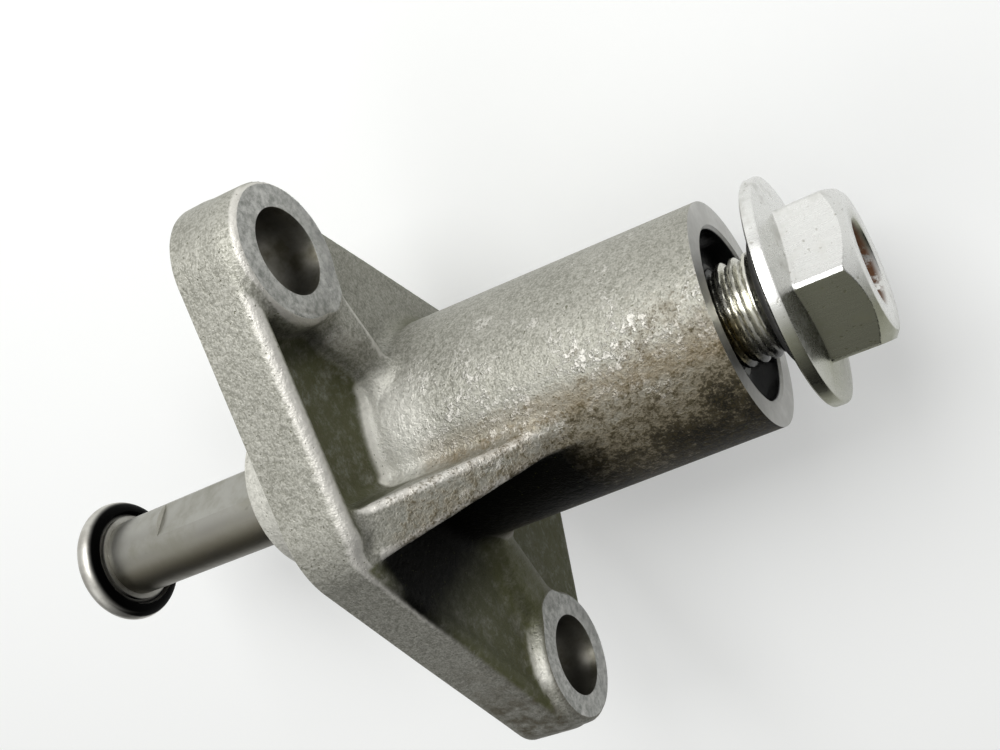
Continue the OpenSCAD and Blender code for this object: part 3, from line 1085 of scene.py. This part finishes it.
    def snout(self, finish: Material) -> Piece:
        """Makes the nose in front of the mounting face.

        Args:
            finish: Its material.

        Returns:
            The nose, open inside the flange.
        """
        tip, root = -self.nose, 1.0
        inner = tip + self.guide_length
        profile = [
            (root, self.nose_r), (tip + 0.35, self.nose_r), (tip + 0.1, self.nose_r - 0.08),
            (tip, self.nose_r - 0.3), (tip, self.guide_r + 0.35), (tip + 0.05, self.guide_r + 0.25),
            (tip + 0.3, self.guide_r), (inner, self.guide_r), (inner, self.nose_bore),
            (root, self.nose_bore), (root, self.nose_r),
        ]
        points, faces = lathe(profile, 160)
        return add_piece("nose", points, faces[:-2], [finish])

    def build(self) -> Piece:
        """Casts, machines and joins the housing.

        Returns:
            The housing, on its body.
        """
        cast, machined = CastAluminium().make(), MachinedAluminium().make()
        piece, bend = self.skin([cast, machined])
        for cuts in self.cuts():
            cut_away(piece, self.cutter(cuts, machined))
        parts = [piece, self.snout(cast)]
        with bpy.context.temp_override(active_object=piece, object=piece, selected_editable_objects=parts):
            bpy.ops.object.join()
        crease(piece, 38)
        self.keep_bend(piece, bend)
        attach(piece, Body.HOUSING.value)
        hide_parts("housing")
        return piece


@dataclass(frozen=True)
class SealingBolt:
    """The flanged sealing bolt with its thread cut."""

    steps: int = 360
    tip: float = 34.18
    seat: float = 42.78
    major: float = 4.97
    minor: float = 4.5
    pitch: float = 1.25
    thread_step: float = 0.06
    runout: float = 41.2
    flange_r: float = 10.85
    rim: float = 1.3
    slope: float = 0.7
    flats: float = 14.0
    corner_ease: float = 0.12
    chamfer: float = 1.3
    chamfer_rings: int = 90
    end: float = 50.18
    turn: float = 1.5
    recess: float = 4.0
    depth: float = 1.6

    def thread(self, x: float, turn: Array) -> Array:
        """Cuts the thread.

        Args:
            x: Place along the shank.
            turn: Angles round it.

        Returns:
            The shank's radius at each angle.
        """
        phase = (x - self.tip) / self.pitch - turn / (2 * np.pi)
        ridge = np.clip(0.55 + 0.7 * np.cos(2 * np.pi * phase), 0, 1)
        height = ridge * blend_step(np.array(self.runout - x), 0.0, 0.7)
        neck = self.minor + (self.major - self.minor) * height
        return np.minimum(neck, self.major - 0.75 + (x - self.tip))

    def hexagon(self, turn: Array) -> Array:
        """The hexagon's radius at each angle, its corners eased."""
        sector = np.mod(turn - math.radians(self.turn), math.pi / 3) - math.pi / 6
        return np.minimum(self.flats / 2 / np.cos(sector), self.flats / math.sqrt(3) - self.corner_ease)

    def flange(self) -> Profile:
        """The flange's profile, from the shank to its upper edge."""
        top, edge = self.seat + self.rim, self.flange_r
        return [
            (self.seat - 0.2, self.minor), (self.seat, self.minor + 0.2), (self.seat, edge - 0.35),
            (self.seat + 0.06, edge - 0.15), (self.seat + 0.2, edge), (top - 0.25, edge),
            (top - 0.07, edge - 0.08), (top, edge - 0.3),
        ]

    def head(self, turn: Array) -> list[Array]:
        """Rings of the hexagon, from the flange's slope to the chamfered end.

        Args:
            turn: Angles round the bolt.

        Returns:
            The rings in order.
        """
        shape = self.hexagon(turn)
        brink = self.flange_r - 0.3
        base = self.seat + self.rim + (brink - shape) / (brink - self.flats / 2) * self.slope
        rings = [ring(base - 0.05, shape + 0.25, turn), ring(base + 0.08, shape + 0.05, turn)]
        for t in 1 - np.linspace(0.985, 0, self.chamfer_rings) ** 1.6:
            x = base + 0.1 + (self.end - 0.04 - base - 0.1) * t
            cone = self.flats / 2 - 0.6 + (self.end - x) * self.chamfer
            rings.append(ring(x, np.minimum(shape, cone), turn))
        return rings

    def bowl(self) -> Profile:
        """The profile of the end face and its recess, down to the floor."""
        floor = self.end - self.depth
        return [
            (self.end, self.flats / 2 - 0.7), (self.end, self.recess + 0.25),
            (self.end - 0.06, self.recess + 0.08), (self.end - 0.25, self.recess - 0.08),
            (floor + 0.3, self.recess - 0.8), (floor + 0.05, self.recess - 1.2),
            (floor, self.recess - 2.0), (floor, 0.05),
        ]

    def build(self) -> Piece:
        """Makes the bolt.

        Returns:
            The bolt, on its body.
        """
        turn = full_turn(self.steps)
        span = np.arange(self.tip, self.seat - 0.25, self.thread_step)
        shank = [ring(x, self.thread(x, turn), turn) for x in span]
        flange, bowl = ([ring(x, r, turn) for x, r in part] for part in (self.flange(), self.bowl()))
        points, faces = ring_mesh(shank + flange + self.head(turn) + bowl)
        finish = ZincSteel(seat=self.seat, end=self.end, recess=self.recess)
        piece = add_piece("threaded_sealing_bolt", points, faces, [finish.make()])
        crease(piece, 28)
        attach(piece, Body.BOLT.value)
        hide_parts("sealing_bolt")
        return piece


@dataclass(frozen=True)
class InnerParts:
    """The CAD pieces that keep their own shape and only take a finish."""

    hard: PlainMetal = PlainMetal("hardened_steel", (0.34, 0.33, 0.32), (0.16, 0.15, 0.13), 0.3)
    spring: PlainMetal = PlainMetal("spring_steel", (0.25, 0.25, 0.27), (0.10, 0.10, 0.10), 0.34)
    # The end plug's near-black tone is painted shade inside the barrel's mouth.
    plug: PlainMetal = PlainMetal("machined_plug", (0.05, 0.05, 0.045), (0.012, 0.012, 0.01), 0.12)

    def finishes(self) -> dict[str, Material]:
        """The finish of each piece."""
        hard = self.hard.make()
        return {
            "guide_plate": hard,
            "thrust_washer": hard,
            "screw_shaft": hard,
            "torsion_spring": self.spring.make(),
            "end_plug": self.plug.make(),
            "plunger_rod": GroundSteel().make(),
            "plunger_head": PolishedHead().make(),
            "bolt_o_ring": Nitrile().make(),
        }

    def build(self) -> None:
        """Gives each piece its finish."""
        for name, material in self.finishes().items():
            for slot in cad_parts[name].material_slots:
                slot.material = material
            LOG.info("dressed %s", name)


@dataclass(frozen=True)
class Lamp:
    """A square soft lamp, aimed at the part: its place and side in millimetres, its power in watts."""

    name: str
    place: Point
    size: float
    power: float

    def hang(self) -> None:
        """Puts the lamp in the scene."""
        light = bpy.data.lights.new(self.name, "AREA")
        light.size = self.size * MM
        light.energy = self.power
        lamp = bpy.data.objects.new(self.name, light)
        lamp.location = Vector(self.place) * MM
        lamp.rotation_mode = "QUATERNION"
        lamp.rotation_quaternion = (-lamp.location).to_track_quat("-Z", "Y")
        bpy.context.scene.collection.objects.link(lamp)


@dataclass(frozen=True)
class Studio:
    """Pale floor, soft light and the camera."""

    eye: Point = (63.44, 46.13, 95.14)
    right: Point = (0.8329, -0.5144, -0.2041)
    down: Point = (-0.3490, -0.7744, 0.5278)
    ahead: Point = (-0.4296, -0.3683, -0.8245)
    lens: float = 42.07
    sensor: float = 36.0
    floor_tone: Colour = (0.86, 0.87, 0.86)
    floor_glow: Colour = (0.95, 0.955, 0.95)
    floor_share: float = 0.3
    floor_fade: tuple[float, float] = (200.0, 650.0)
    floor_r: float = 6000.0
    floor_gap: float = 0.05
    bright_side: Point = (-0.2, 0.8, 0.55)
    bright: Colour = (0.75, 0.75, 0.74)
    dim: Colour = (0.03, 0.03, 0.032)
    backdrop: Colour = (0.93, 0.935, 0.93)
    lamps: tuple[Lamp, ...] = (
        Lamp("key", (20, 350, 290), 240, 2.0),
        Lamp("fill", (-250, -60, 380), 300, 0.2),
    )

    def table_finish(self) -> Material:
        """Makes the floor's finish: pale, with the part's shadow, and white far off.

        Returns:
            The material.
        """
        s = Surface("table", self.floor_tone)
        s.paint(Roughness=0.6)
        seen = s.seen("Is Camera Ray", "Is Glossy Ray", "Is Transmission Ray")
        glow = s.node("ShaderNodeEmission", None, {"Color": self.floor_glow, "Strength": 1.0})
        x, y = s.along(Axis.X), s.along(Axis.Y)
        away = ((x * x + y * y) ** 0.5).rise(*self.floor_fade)
        share = seen * (self.floor_share + away * (1 - self.floor_share))
        shader = Wire(s, s.shader.outputs[0])
        blend = s.node("ShaderNodeMixShader", None, {0: share, 1: shader, 2: glow})
        s.feed(s.tree.nodes["Material Output"].inputs[0], blend)
        return s.material

    def floor(self) -> None:
        """Lays the pale table that the part lies on."""
        turn = full_turn(96)
        height = np.full(len(turn), CAD_BOX[0].z / MM - self.floor_gap)
        points = np.column_stack([self.floor_r * np.cos(turn), self.floor_r * np.sin(turn), height])
        table = add_piece("table", points, [tuple(range(len(turn)))], [self.table_finish()])

    def world(self) -> None:
        """Makes soft surroundings, bright above and behind the part, dim in front of it."""
        world = bpy.data.worlds.new("studio")
        bpy.context.scene.world = world
        world.use_nodes = True
        g = Graph(world.node_tree)
        way = g.node("ShaderNodeTexCoord", out="Generated")
        aim = {0: way, 1: self.bright_side}
        toward = g.node("ShaderNodeVectorMath", {"operation": "DOT_PRODUCT"}, aim, out=1)
        tone = g.mix(toward.rise(-0.5, 0.9), self.dim, self.bright)
        tone = g.mix(g.seen("Is Camera Ray"), tone, self.backdrop)
        g.feed(g.tree.nodes["Background"].inputs["Color"], tone)

    def camera(self) -> None:
        """Puts the camera where the photograph was taken from."""
        data = bpy.data.cameras.new("camera")
        data.sensor_fit = "HORIZONTAL"
        data.sensor_width = self.sensor
        data.lens = self.lens
        data.clip_start = 0.005
        data.clip_end = 20
        eye = bpy.data.objects.new("camera", data)
        turn = Matrix((Vector(self.right), -Vector(self.down), -Vector(self.ahead))).transposed()
        eye.matrix_world = Matrix.Translation(Vector(self.eye) * MM) @ turn.to_4x4()
        bpy.context.scene.collection.objects.link(eye)
        bpy.context.scene.camera = eye

    def build(self) -> None:
        """Sets the stage."""
        bpy.context.scene.view_settings.view_transform = "Standard"
        self.camera()
        self.floor()
        self.world()
        for lamp in self.lamps:
            lamp.hang()


def main() -> None:
    """Builds the stage and each sub-assembly in order."""
    logging.basicConfig(level=logging.INFO, format="%(name)s: %(message)s")
    Studio().build()
    for made in (Casting().build(), SealingBolt().build()):
        LOG.info("%s: %d faces", made.name, len(made.data.polygons))
    InnerParts().build()


if __name__ == "__main__":
    main()
